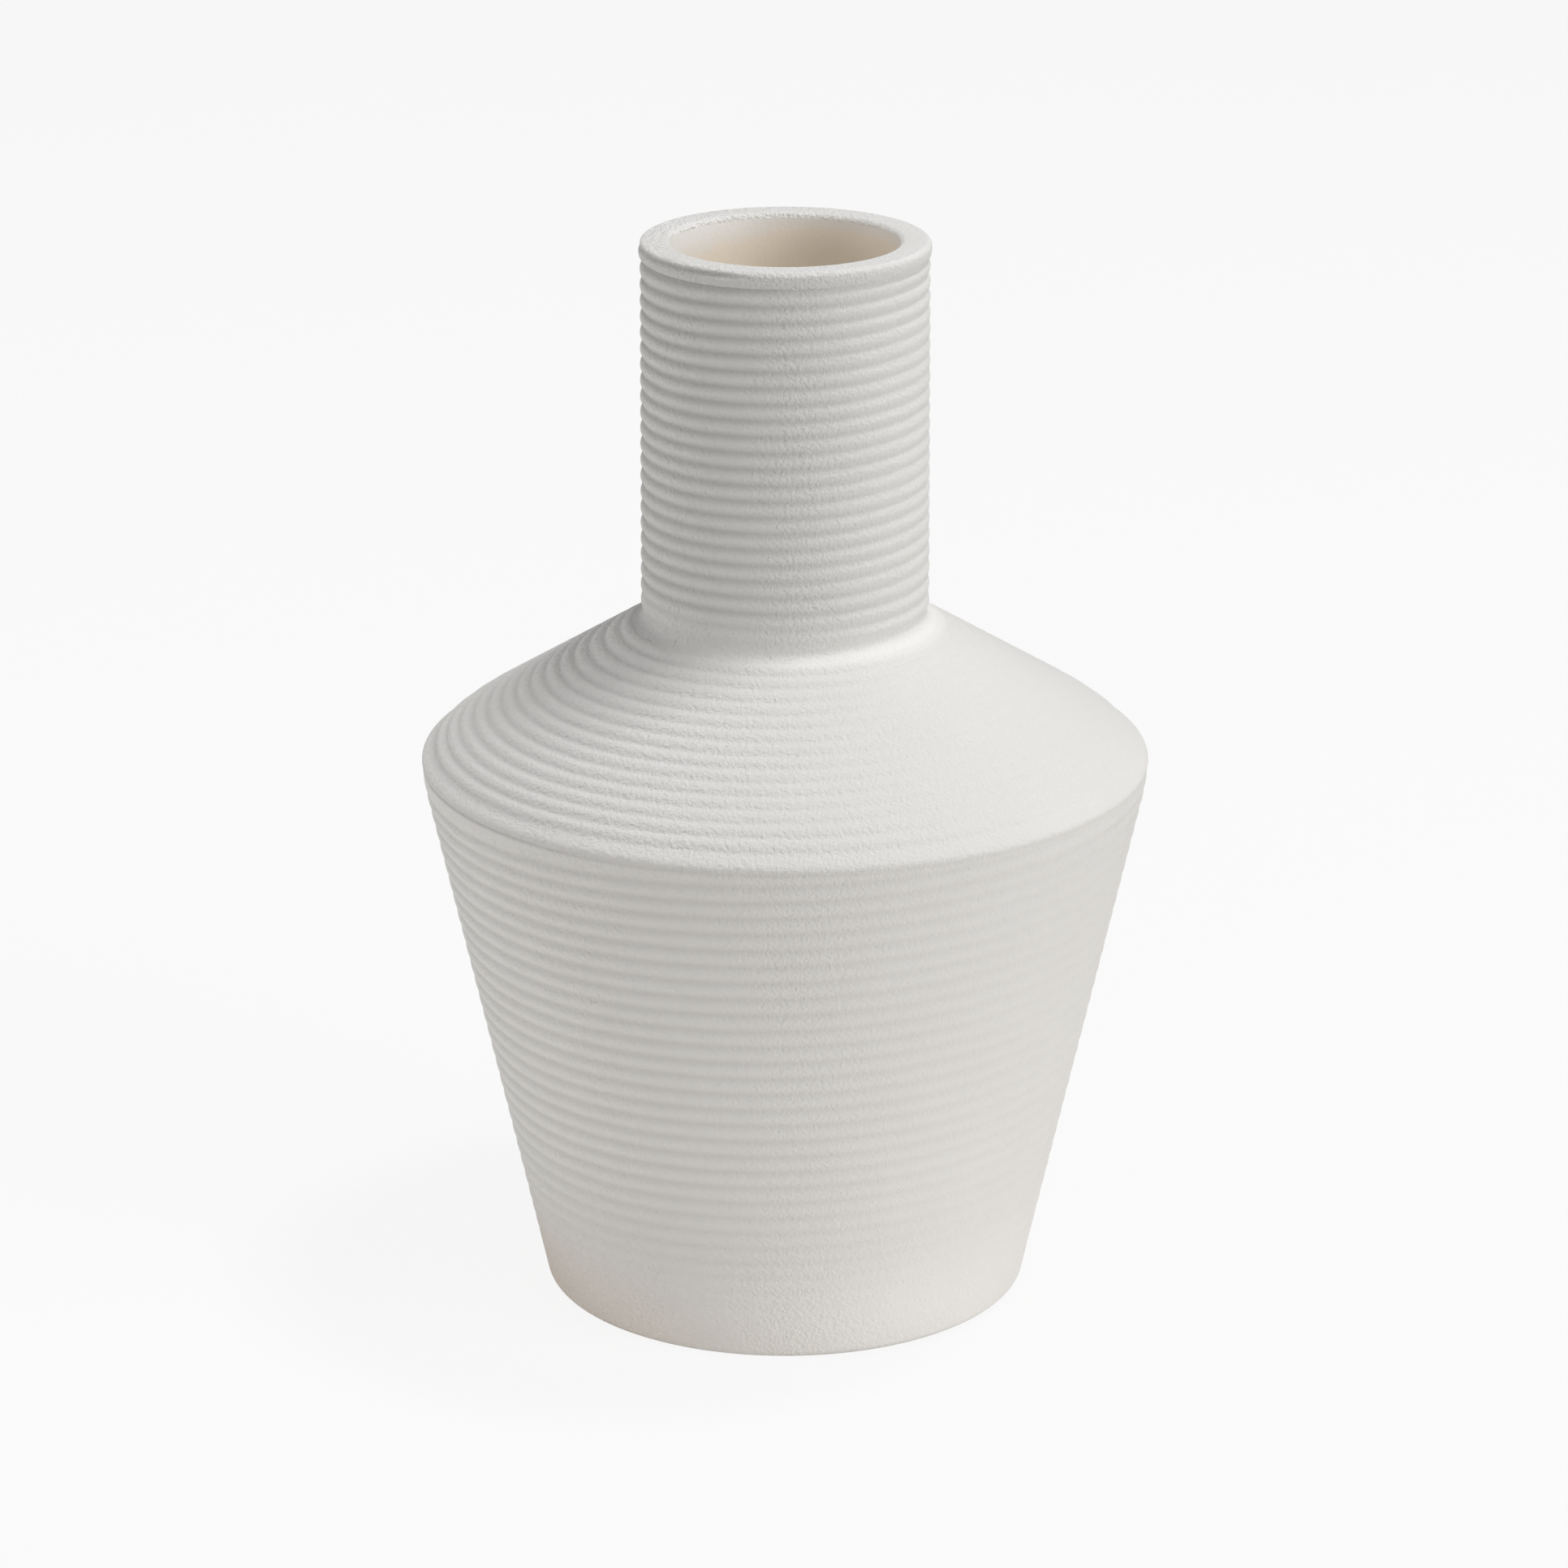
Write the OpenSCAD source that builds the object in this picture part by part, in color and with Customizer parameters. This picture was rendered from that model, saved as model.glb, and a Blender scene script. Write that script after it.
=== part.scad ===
// Ribbed ceramic vase with a cone shaped body, a sloping shoulder and a straight neck
// Millimetres, with Z up along the axis of the vase and the table at zero

/* [Base] */
// Diameter of the base, where the line of the wall would meet the table
base_d = 107.6; // [96:0.2:124]
// Radius of the rounded edge under the wall
base_round = 2.5; // [1:0.1:5]
// Thickness of the clay slab that closes the body
slab_t = 8; // [6:0.1:12]
// Width of the flat ring that the vase stands on
foot_w = 9; // [5:0.5:20]
// Depth of the shallow hollow inside the standing ring
foot_recess = 1.2; // [0.4:0.1:2.5]

/* [Body] */
// Largest diameter, at the ridge between wall and shoulder
ridge_d = 162; // [148:0.5:180]
// Height of the ridge above the table
ridge_h = 122; // [100:0.5:150]
// Radius of the tight round at the ridge
ridge_round = 3.5; // [2:0.1:6]
// Thickness of the clay wall, square to its surface
wall_t = 6.5; // [5:0.1:8]
// Radius inside the body where the wall meets the floor
floor_round = 6; // [3:0.5:12]
// Radius inside the body behind the ridge
belly_round = 8; // [4:0.5:14]

/* [Shoulder] */
// Slope of the shoulder, in degrees from the horizontal
shoulder_slope = 31.4; // [24:0.2:40]
// Radius of the gentle crown that turns the shoulder down to the ridge
crown_round = 50; // [25:1:90]
// Angle that the crown turns through, in degrees
crown_turn = 14; // [6:0.5:22]
// Width of the plain crease at the foot of the neck, before the first rib
crease_w = 2.1; // [1.6:0.1:4]
// Height of the joint between shoulder and wall above the ridge, along the outline
seam_up = 0.3; // [0.1:0.1:3]
// How far the groove of that joint lies below its place in an even row of ribs
seam_drop = 1.6; // [0:0.1:2]

/* [Neck] */
// Diameter of the neck under the rim, over the ribs
neck_top_d = 63; // [56:0.2:76]
// How much wider the neck is at its foot than under the rim
neck_spread = 0.6; // [0:0.1:3]
// Thickness of the neck's clay under the rim, from the ribs to the bore
neck_wall = 6.5; // [5:0.1:8]
// Length of the neck from the shoulder line to the top of the rim
neck_len = 84.4; // [60:0.2:110]
// Radius of the hollow curve between neck and shoulder
neck_round = 2.2; // [1:0.1:2.8]

/* [Rim] */
// Height of the rim
rim_h = 3.8; // [3:0.1:6]
// Height of the rounded lower edge of the rim above its joint
rim_drop = 0.5; // [0.2:0.1:1.5]
// Radius of the rounded edges at the top of the rim, outside and inside
rim_round = 1.3; // [0.6:0.1:2.2]
// How far the rim stands out past the ribs of the neck
rim_flare = 0.3; // [0:0.1:1]

/* [Ribs] */
// Depth of the grooves between the ribs
rib_depth = 0.5; // [0.2:0.05:0.8]
// Number of ribs on the neck
neck_ribs = 22; // [12:1:28]
// Number of ribs on the shoulder
shoulder_ribs = 15; // [8:1:18]
// Number of ribs on the wall
wall_ribs = 29; // [16:1:34]
// Height above the slab over which the ribs of the wall fade out
rib_fade = 16; // [4:1:40]

/* [Slip and glaze] */
// Thickness of the slip that joins two sections of clay
slip_t = 0.4; // [0.2:0.05:0.8]
// Thickness of the glaze that lines the inside
glaze_t = 0.4; // [0.2:0.05:0.8]

/* [Hidden] */
$fn = 128;

// Straight edges that draw one rib and one round corner
rib_steps = 4;
round_steps = 6;

base_r = base_d / 2;
ridge_r = ridge_d / 2;
neck_top_r = neck_top_d / 2;
neck_foot_r = neck_top_r + neck_spread / 2;
bore_r = neck_top_r - neck_wall;

clay = [0.87, 0.86, 0.84];
wet_joint = [0.83, 0.82, 0.79];
cream = [0.85, 0.79, 0.70];

function direction(angle) = [cos(angle), sin(angle)];
function arc_length(radius, angle) = radius * angle * PI / 180;
function arc_angle(radius, length) = length / radius * 180 / PI;

// The outline runs from the foot of the neck down the shoulder, over the ridge and down the wall
// Angles give the direction of its outward normal, in degrees above the horizontal
ridge_mid = [ridge_r - ridge_round, ridge_h];
ridge_reach = norm(ridge_mid - [base_r, 0]);
wall_lean = atan2(ridge_mid[0] - base_r, ridge_mid[1]) + asin(ridge_round / ridge_reach);
wall_normal = -wall_lean;
wall_top = ridge_mid + ridge_round * direction(wall_normal);

shoulder_normal = 90 - shoulder_slope;
crown_normal = shoulder_normal - crown_turn;
crown_mid = ridge_mid - (crown_round - ridge_round) * direction(crown_normal);
crown_end = crown_mid + crown_round * direction(shoulder_normal);
neck_foot = [neck_foot_r, crown_end[1] + (crown_end[0] - neck_foot_r) * tan(shoulder_slope)];
vase_h = neck_foot[1] + neck_len;

// Distances along the outline, measured from the foot of the neck
crown_at = (crown_end[0] - neck_foot_r) / cos(shoulder_slope);
bend_at = crown_at + arc_length(crown_round, crown_turn);
ridge_at = bend_at + arc_length(ridge_round, crown_normal);
wall_at = ridge_at + arc_length(ridge_round, wall_lean);
seam_at = ridge_at - seam_up;
wall_end_at = wall_at + (wall_top[1] - slab_t - slip_t) / cos(wall_lean);

// Point on the outline at a distance along it, sunk into the clay by a depth
function skin(at, sunk) =
    at < crown_at ? neck_foot + at * direction(-shoulder_slope) - sunk * direction(shoulder_normal)
    : at < bend_at ? crown_mid
        + (crown_round - sunk) * direction(shoulder_normal - arc_angle(crown_round, at - crown_at))
    : at < wall_at ? ridge_mid
        + (ridge_round - sunk) * direction(crown_normal - arc_angle(ridge_round, at - bend_at))
    : wall_top + (at - wall_at) * direction(wall_normal - 90) - sunk * direction(wall_normal);

// Depth below the crests at a step of the rib pattern, deepest in the grooves
function groove(step) = rib_depth * (1 - sin(180 * (step % rib_steps) / rib_steps));

// Joints between the sections, each a level layer of slip
neck_bend = neck_round * tan(shoulder_normal / 2);
neck_joint = neck_foot[1] + neck_bend;
neck_start = neck_joint + slip_t;
rim_start = vase_h - rim_h;
rim_joint = rim_start - slip_t;
seam_point = skin(seam_at, rib_depth);
wall_start = seam_point[1] - slip_t;

// Outer surfaces of the sections
function neck_radius(z) =
    neck_foot_r + (neck_top_r - neck_foot_r) * (z - neck_start) / (rim_joint - neck_start);
function wall_radius(z) = base_r + z * tan(wall_lean);

neck_pitch = (rim_joint - neck_start) / neck_ribs;
neck_skin = [
    for (step = [0 : neck_ribs * rib_steps])
        let (z = neck_start + neck_pitch * step / rib_steps)
        [neck_radius(z) - groove(step), z]
];

neck_bend_mid = [neck_foot_r + neck_round, neck_joint];
neck_bend_skin = [
    for (step = [0 : round_steps])
        neck_bend_mid + (neck_round + rib_depth) * direction(180 + shoulder_normal * step / round_steps)
];

// The ribs are even, but the two beside the joint are made wider and narrower by its drop
even_seam_at = seam_at - seam_drop;
shoulder_pitch = (even_seam_at - crease_w) / shoulder_ribs;
wall_pitch = (wall_end_at - even_seam_at) / wall_ribs;
function shoulder_rib_at(rib) =
    crease_w + shoulder_pitch * rib + seam_drop * max(0, rib - shoulder_ribs + 1);
function wall_rib_at(rib) = even_seam_at + wall_pitch * rib + seam_drop * max(0, 1 - rib);

shoulder_skin = concat(
    neck_bend_skin,
    [for (step = [0 : shoulder_ribs * rib_steps])
        skin(shoulder_rib_at(step / rib_steps), groove(step))]
);

function fade(z) = min(1, (z - slab_t - slip_t) / rib_fade);
wall_skin = concat(
    [[seam_point[0], wall_start]],
    [for (step = [1 : wall_ribs * rib_steps - 1])
        let (at = wall_rib_at(step / rib_steps))
        let (point = skin(at, groove(step) * fade(skin(at, 0)[1])))
        if (point[1] < wall_start) point],
    [skin(wall_end_at, 0)]
);

rim_outer_r = neck_top_r + rim_flare;
rim_round_z = vase_h - rim_round;
rim_outer_mid = [rim_outer_r - rim_round, rim_round_z];
rim_inner_mid = [bore_r + rim_round, rim_round_z];
rim_skin = concat(
    [[neck_top_r - rib_depth, rim_start], [rim_outer_r, rim_start + rim_drop]],
    [for (step = [0 : round_steps])
        rim_outer_mid + rim_round * direction(90 * step / round_steps)],
    [for (step = [0 : round_steps])
        rim_inner_mid + rim_round * direction(90 + 90 * step / round_steps)]
);

base_mid = [wall_radius(0) - base_round * tan(45 + wall_normal / 2), base_round];
base_skin = [
    for (step = [0 : round_steps])
        base_mid + base_round * direction(-90 + (90 - wall_lean) * step / round_steps)
];

// The hollow runs parallel to the outside, and shrinks by the inset where glaze lines it
function inner_wall_radius(z, inset) = wall_radius(z) - (wall_t + inset) / cos(wall_lean);
function inner_shoulder_z(r, inset) =
    neck_foot[1] + (neck_foot_r - r) * tan(shoulder_slope) - (wall_t + inset) / cos(shoulder_slope);

floor_mid_z = slab_t + floor_round;
floor_mid = [inner_wall_radius(floor_mid_z, floor_round), floor_mid_z];
belly_mid_r =
    (inner_wall_radius(0, belly_round) + inner_shoulder_z(0, belly_round) * tan(wall_lean))
    / (1 + tan(wall_lean) * tan(shoulder_slope));
belly_mid = [belly_mid_r, inner_shoulder_z(belly_mid_r, belly_round)];
throat_r = bore_r;

// Points of the hollow from the floor up to the round of the rim, at an inset from the clay
function hollow(inset) = concat(
    [for (step = [0 : round_steps])
        floor_mid + (floor_round - inset) * direction(-90 + (90 - wall_lean) * step / round_steps)],
    [for (step = [0 : round_steps])
        belly_mid + (belly_round - inset)
            * direction(wall_normal + (shoulder_normal - wall_normal) * step / round_steps)],
    [[throat_r - inset, inner_shoulder_z(throat_r - inset, inset)],
     [throat_r - inset, rim_round_z]]
);
clay_hollow = hollow(0);
glaze_hollow = hollow(glaze_t);

// Radius of the hollow in the clay at a height
function hollow_radius(z) = lookup(z, [for (point = clay_hollow) [point[1], point[0]]]);

// Inner edge of a section between two heights, from the top down
function inner_edge(low, high) = concat(
    [[hollow_radius(high), high]],
    [for (k = [len(clay_hollow) - 1 : -1 : 0])
        if (clay_hollow[k][1] > low && clay_hollow[k][1] < high) clay_hollow[k]],
    [[hollow_radius(low), low]]
);

// A list of points in the opposite order
function reversed(points) = [for (k = [len(points) - 1 : -1 : 0]) points[k]];

// A section of clay turned from its outer points, listed upwards, and the hollow behind them
module turned(outer, low, high) {
    rotate_extrude()
        polygon(concat(outer, inner_edge(low, high)));
}

// Slab that closes the body, with the standing ring turned on its underside
module base_slab() {
    foot_out_r = base_mid[0];
    foot_in_r = foot_out_r - foot_w;
    color(clay)
        rotate_extrude()
            polygon(concat(
                [[0, foot_recess], [foot_in_r - foot_recess, foot_recess], [foot_in_r, 0]],
                base_skin,
                [[wall_radius(slab_t), slab_t], [0, slab_t]]
            ));
}

// Slip between the slab and the wall that stands on it
module base_slip() {
    color(wet_joint)
        turned([[wall_radius(slab_t), slab_t], skin(wall_end_at, 0)], slab_t, slab_t + slip_t);
}

// Cone shaped wall of the body, with the ridge at its top edge
module body_wall() {
    color(clay)
        turned(reversed(wall_skin), slab_t + slip_t, wall_start);
}

// Slip in the groove at the ridge, between wall and shoulder
module ridge_slip() {
    color(wet_joint)
        turned([[seam_point[0], wall_start], seam_point], wall_start, seam_point[1]);
}

// Sloping shoulder with the hollow curve that leads up to the neck
module shoulder() {
    color(clay)
        turned(reversed(shoulder_skin), seam_point[1], neck_joint);
}

// Slip between the shoulder and the neck
module neck_slip() {
    color(wet_joint)
        turned([neck_bend_skin[0], neck_skin[0]], neck_joint, neck_start);
}

// Straight ribbed neck
module neck() {
    color(clay)
        turned(neck_skin, neck_start, rim_joint);
}

// Slip between the neck and the rim
module rim_slip() {
    groove_r = neck_top_r - rib_depth;
    color(wet_joint)
        turned([[groove_r, rim_joint], [groove_r, rim_start]], rim_joint, rim_start);
}

// Smooth rim with a level top and rounded edges, a little proud of the neck
module rim() {
    color(clay)
        rotate_extrude()
            polygon(concat([[bore_r, rim_start]], rim_skin));
}

// Glaze that lines the hollow from the floor to the round of the rim
module inner_glaze() {
    color(cream)
        rotate_extrude()
            polygon(concat(
                [[0, slab_t]],
                clay_hollow,
                reversed(glaze_hollow),
                [[0, slab_t + glaze_t]]
            ));
}

base_slab();
base_slip();
body_wall();
ridge_slip();
shoulder();
neck_slip();
neck();
rim_slip();
rim();
inner_glaze();
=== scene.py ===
import math
import bpy
import numpy as np
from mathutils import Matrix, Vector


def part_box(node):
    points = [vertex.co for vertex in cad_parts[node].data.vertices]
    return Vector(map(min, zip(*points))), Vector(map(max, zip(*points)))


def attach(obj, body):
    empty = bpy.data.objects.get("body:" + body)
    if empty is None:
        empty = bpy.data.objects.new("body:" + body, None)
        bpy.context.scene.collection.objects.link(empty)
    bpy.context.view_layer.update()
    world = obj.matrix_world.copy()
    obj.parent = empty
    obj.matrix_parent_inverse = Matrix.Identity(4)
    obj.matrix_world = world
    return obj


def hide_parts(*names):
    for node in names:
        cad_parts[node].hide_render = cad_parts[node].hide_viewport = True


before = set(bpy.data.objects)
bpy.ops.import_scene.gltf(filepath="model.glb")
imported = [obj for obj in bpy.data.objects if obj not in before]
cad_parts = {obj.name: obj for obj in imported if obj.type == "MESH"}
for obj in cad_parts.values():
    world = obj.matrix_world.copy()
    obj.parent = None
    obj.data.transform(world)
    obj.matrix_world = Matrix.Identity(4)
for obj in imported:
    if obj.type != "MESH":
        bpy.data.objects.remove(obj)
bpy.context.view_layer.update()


# Base slab
# The disc of stoneware clay that closes the vase. It is rolled out, cut round and trimmed on the wheel,
# which leaves a standing ring, a shallow hollow with fine turning marks and a rounded outer edge.
BASE_R = 0.0538
WALL_LEAN = math.radians(12.607)
EDGE_ROUND = 0.0025
RING_WIDTH = 0.009
RING_RECESS = 0.0012
TURNING_MARK = 0.00006
TURNING_PITCH = 0.0016
MARK_STEPS = 120
ARC_STEPS = 10
COLUMNS = 256
SHARP_EDGE = math.radians(50)

CLAY_COLOUR = (0.785, 0.78, 0.768, 1)
CLAY_WARM = (0.77, 0.755, 0.73, 1)
CLAY_ROUGHNESS = (0.82, 0.96)
# Painted shade: a warm, darker colour at the foot on the vase's left, for the shade there and the warm
# light thrown back by the table.
WARM_FOOT_SHADE_COLOUR = (0.71, 0.64, 0.575, 1)
WARM_FOOT_SHADE_HEIGHT = 0.03
WARM_FOOT_SHADE_POWER = 3
# Painted light: the clay near the foot is painted paler, most in front, for the light that the table
# throws up on it.
FOOT_PAINTED_LIGHT = 0.16
FOOT_HEIGHT = 0.03
FOOT_POWER = 4
GRAIN_SIZE = 0.0009
GRAIN_HEIGHT = 0.0005
GRAIN_NOISE = {"Detail": 2.0, "Roughness": 0.6}
CLOUD_SIZE = 0.03
CLOUD_NOISE = {"Detail": 3.0, "Roughness": 0.55}
LEAST_COARSE = 0.5
WALL_COARSE = 0.9

turn = np.linspace(0, 2 * np.pi, COLUMNS, endpoint=False)


def arc(middle, radius, start, end, steps=ARC_STEPS):
    """Points of a circle's arc as rows of (distance from the axis, height): the middle plus the radius
    times the cosine and sine of an angle that runs evenly from start to end."""
    angle = np.linspace(start, end, steps)
    return np.stack([middle[0] + radius * np.cos(angle), middle[1] + radius * np.sin(angle)], axis=-1)


def to_left(power):
    """1 on the vase's left, easing round it to 0 on its right: a power of half of one less the cosine
    of the angle round the vase."""
    return (0.5 - 0.5 * np.cos(turn)) ** power


def to_front(power):
    """1 in front, easing round the vase to 0 behind: a power of half of one less the angle's sine."""
    return (0.5 - 0.5 * np.sin(turn)) ** power


def turned(name, radius, height, shade=0.0, covered=0.0, poles=None, coarse=1.0):
    """A closed surface turned about the vase's axis. Row i and column j of the grids give the point
    (radius cos a, radius sin a, height) at the angle a = 2 pi j / COLUMNS. The rows run up the outer
    side of the section and down its inner side, and the last row joins the first. Where the section
    ends on the axis, poles gives the heights of its first and last point instead. Shade is how much
    darker the clay is painted at a point, as painted shade in a groove, and below 0 how much paler it
    is painted, as painted light; covered is how far another colour covers it. The grain's height is
    coarse times a factor that is least on the right and grows by one to the left."""
    rows = np.shape(radius)[0]
    radius, height, shade, covered = (
        np.broadcast_to(grid, (rows, COLUMNS)) for grid in (radius, height, shade, covered))
    points = np.stack([radius * np.cos(turn), radius * np.sin(turn), height], axis=-1).reshape(-1, 3)
    grains = np.broadcast_to(coarse * (LEAST_COARSE + to_left(1)), (rows, COLUMNS))
    looks = {"shade": shade.reshape(-1), "covered": covered.reshape(-1), "coarse": grains.reshape(-1)}
    here = np.arange(rows * COLUMNS).reshape(rows, COLUMNS)
    beside = np.roll(here, -1, axis=1)
    if poles is None:
        quads = [here, beside, np.roll(beside, -1, axis=0), np.roll(here, -1, axis=0)]
        faces = np.stack(quads, axis=-1).reshape(-1, 4).tolist()
    else:
        first, last = len(points), len(points) + 1
        points = np.concatenate([points, [[0, 0, poles[0]], [0, 0, poles[1]]]])
        looks = {look: np.append(values, values[[0, -1]]) for look, values in looks.items()}
        quads = [here[:-1], beside[:-1], beside[1:], here[1:]]
        fan = np.full(COLUMNS, first)
        cap = np.full(COLUMNS, last)
        faces = (
            np.stack(quads, axis=-1).reshape(-1, 4).tolist()
            + np.stack([fan, beside[0], here[0]], axis=-1).tolist()
            + np.stack([here[-1], beside[-1], cap], axis=-1).tolist()
        )
    mesh = bpy.data.meshes.new(name)
    mesh.from_pydata(points, [], faces)
    mesh.shade_smooth()
    mesh.set_sharp_from_angle(angle=SHARP_EDGE)
    for look, values in looks.items():
        mesh.attributes.new(look, "FLOAT", "POINT").data.foreach_set("value", values.astype(np.float32))
    piece = bpy.data.objects.new(name, mesh)
    bpy.context.scene.collection.objects.link(piece)
    return piece


def node(tree, kind, **settings):
    """A node of that kind, with its settings, or its input values where a name is an input's."""
    made = tree.nodes.new(kind)
    for name, value in settings.items():
        if hasattr(made, name):
            setattr(made, name, value)
        else:
            made.inputs[name.replace("_", " ")].default_value = value
    return made


def sandy_grain():
    """The surface of clay with fine sand in it, as a group that every material here uses. Grain is a
    height from fine noise, and Cloud is a slow change between paler and warmer clay."""
    group = bpy.data.node_groups.new("sandy grain", "ShaderNodeTree")
    for name, kind in (("Vector", "Vector"), ("Grain Scale", "Float"), ("Cloud Scale", "Float")):
        group.interface.new_socket(name, in_out="INPUT", socket_type="NodeSocket" + kind)
    for name in ("Grain", "Cloud"):
        group.interface.new_socket(name, in_out="OUTPUT", socket_type="NodeSocketFloat")
    given = group.nodes.new("NodeGroupInput")
    out = group.nodes.new("NodeGroupOutput")
    fine = node(group, "ShaderNodeTexNoise", **GRAIN_NOISE)
    cloud = node(group, "ShaderNodeTexNoise", **CLOUD_NOISE)
    group.links.new(given.outputs["Vector"], fine.inputs["Vector"])
    group.links.new(given.outputs["Grain Scale"], fine.inputs["Scale"])
    group.links.new(given.outputs["Vector"], cloud.inputs["Vector"])
    group.links.new(given.outputs["Cloud Scale"], cloud.inputs["Scale"])
    group.links.new(fine.outputs["Fac"], out.inputs["Grain"])
    group.links.new(cloud.outputs["Fac"], out.inputs["Cloud"])
    return group


grain_group = sandy_grain()


def fired_surface(name, pale, rough, grain_height, covers):
    """A material for fired clay: a pale and a warm colour mixed by the group's cloud and darkened by
    the mesh's shade, which is painted shade, and painted light where it is below 0, with a roughness
    that follows the cloud and a bump from the grain, as high as the mesh is coarse. As the mesh's cover
    grows from 0 to 1, the cover colours take over one after the other, at even steps."""
    material = bpy.data.materials.new(name)
    material.use_nodes = True
    tree = material.node_tree
    tree.nodes.clear()
    out = tree.nodes.new("ShaderNodeOutputMaterial")
    body = tree.nodes.new("ShaderNodeBsdfPrincipled")
    place = tree.nodes.new("ShaderNodeTexCoord")
    grain = node(tree, "ShaderNodeGroup", node_tree=grain_group)
    grain.inputs["Grain Scale"].default_value = 1 / GRAIN_SIZE
    grain.inputs["Cloud Scale"].default_value = 1 / CLOUD_SIZE
    tint = node(tree, "ShaderNodeMix", data_type="RGBA")
    tint.inputs["A"].default_value = pale
    tint.inputs["B"].default_value = CLAY_WARM
    # The mesh's shade: painted shade where it is above 0, painted light where it is below 0.
    shade = node(tree, "ShaderNodeAttribute", attribute_name="shade")
    left = node(tree, "ShaderNodeMath", operation="SUBTRACT")
    left.inputs[0].default_value = 1
    colour = node(tree, "ShaderNodeVectorMath", operation="SCALE")
    roughness = node(tree, "ShaderNodeMapRange")
    roughness.inputs["To Min"].default_value = rough[0]
    roughness.inputs["To Max"].default_value = rough[1]
    coarse = node(tree, "ShaderNodeAttribute", attribute_name="coarse")
    heaped = node(tree, "ShaderNodeMath", operation="MULTIPLY")
    bump = node(tree, "ShaderNodeBump", Strength=1.0, Distance=grain_height)
    covered = node(tree, "ShaderNodeAttribute", attribute_name="covered")
    tree.links.new(place.outputs["Object"], grain.inputs["Vector"])
    tree.links.new(grain.outputs["Cloud"], tint.inputs["Factor"])
    tree.links.new(shade.outputs["Fac"], left.inputs[1])
    under = tint
    for step, cover_colour in enumerate(covers):
        reached = node(tree, "ShaderNodeMapRange")
        reached.inputs["From Min"].default_value = step / len(covers)
        reached.inputs["From Max"].default_value = (step + 1) / len(covers)
        cover = node(tree, "ShaderNodeMix", data_type="RGBA")
        cover.inputs["B"].default_value = cover_colour
        tree.links.new(covered.outputs["Fac"], reached.inputs["Value"])
        tree.links.new(reached.outputs["Result"], cover.inputs["Factor"])
        tree.links.new(under.outputs["Result"], cover.inputs["A"])
        under = cover
    tree.links.new(under.outputs["Result"], colour.inputs[0])
    tree.links.new(left.outputs["Value"], colour.inputs["Scale"])
    tree.links.new(colour.outputs["Vector"], body.inputs["Base Color"])
    tree.links.new(grain.outputs["Cloud"], roughness.inputs["Value"])
    tree.links.new(roughness.outputs["Result"], body.inputs["Roughness"])
    tree.links.new(grain.outputs["Grain"], heaped.inputs[0])
    tree.links.new(coarse.outputs["Fac"], heaped.inputs[1])
    tree.links.new(heaped.outputs["Value"], bump.inputs["Height"])
    tree.links.new(bump.outputs["Normal"], body.inputs["Normal"])
    tree.links.new(body.outputs["BSDF"], out.inputs["Surface"])
    return material


def dress(piece, material, cad_node):
    """Gives a piece its material and its place in the frame, instead of the plain solid."""
    piece.data.materials.append(material)
    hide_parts(cad_node)
    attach(piece, "root")


def smooth_step(value, start=0, full=1):
    """0 up to the start, 1 from full on and a smooth S between them: three times the square of the
    share of the way, less twice its cube."""
    held = np.clip((value - start) / (full - start), 0, 1)
    return held * held * (3 - 2 * held)


def warm_painted_foot_shade(height):
    """How far a warm, darker colour covers the clay, as painted shade at the foot for the shade there
    and
    the warm light thrown back by the table: most at the bottom on the vase's left, fading out a little
    way up the wall and towards the right."""
    return (1 - smooth_step(height / WARM_FOOT_SHADE_HEIGHT)) * to_left(WARM_FOOT_SHADE_POWER)


def painted_foot_light(height):
    """Painted light at the foot, for the light that the table throws up on it: the clay is painted
    paler near the bottom, most so in front.
    """
    return -FOOT_PAINTED_LIGHT * (1 - smooth_step(height / FOOT_HEIGHT)) * to_front(FOOT_POWER)


# The clay's cover colour is the warm painted shade at the foot.
clay = fired_surface("sandy bisque", CLAY_COLOUR, CLAY_ROUGHNESS, GRAIN_HEIGHT, [WARM_FOOT_SHADE_COLOUR])

slab_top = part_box("base_slab")[1].z
edge_middle = (BASE_R - EDGE_ROUND * math.tan(math.pi / 4 - WALL_LEAN / 2), EDGE_ROUND)
ring_inner_r = edge_middle[0] - RING_WIDTH
marks_r = np.linspace(TURNING_PITCH / 4, ring_inner_r - RING_RECESS, MARK_STEPS)
marks = np.stack([
    marks_r,
    RING_RECESS - TURNING_MARK * np.sin(2 * np.pi * marks_r / TURNING_PITCH) ** 2,
], axis=-1)
section = np.concatenate([
    marks,
    [[ring_inner_r, 0]],
    arc(edge_middle, EDGE_ROUND, -math.pi / 2, -WALL_LEAN),
    [[BASE_R + slab_top * math.tan(WALL_LEAN), slab_top]],
])
# The slab takes the foot's painted light and warm painted shade, easing them to nothing towards the
# axis.
from_axis = np.clip(section[:, :1] / ring_inner_r, 0, 1)
base_slab = turned(
    "trimmed_slab", section[:, :1], section[:, 1:], from_axis * painted_foot_light(section[:, 1:]),
    from_axis * warm_painted_foot_shade(section[:, 1:]), (RING_RECESS, slab_top), WALL_COARSE)
dress(base_slab, clay, "base_slab")


# Base joint
# A thin layer of liquid clay, brushed on where the wall is set on the slab. It is smoothed over by
# hand, so its edge carries on the line of the wall.
SLIP_COLOUR = (0.78, 0.77, 0.755, 1)
SLIP_ROUGHNESS = (0.84, 0.97)
HOLLOW_WALL = 0.0065
FLOOR_ROUND = 0.006

# The slip's cover colour is the same warm painted shade at the foot.
slip = fired_surface("joining slip", SLIP_COLOUR, SLIP_ROUGHNESS, GRAIN_HEIGHT, [WARM_FOOT_SHADE_COLOUR])


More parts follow.
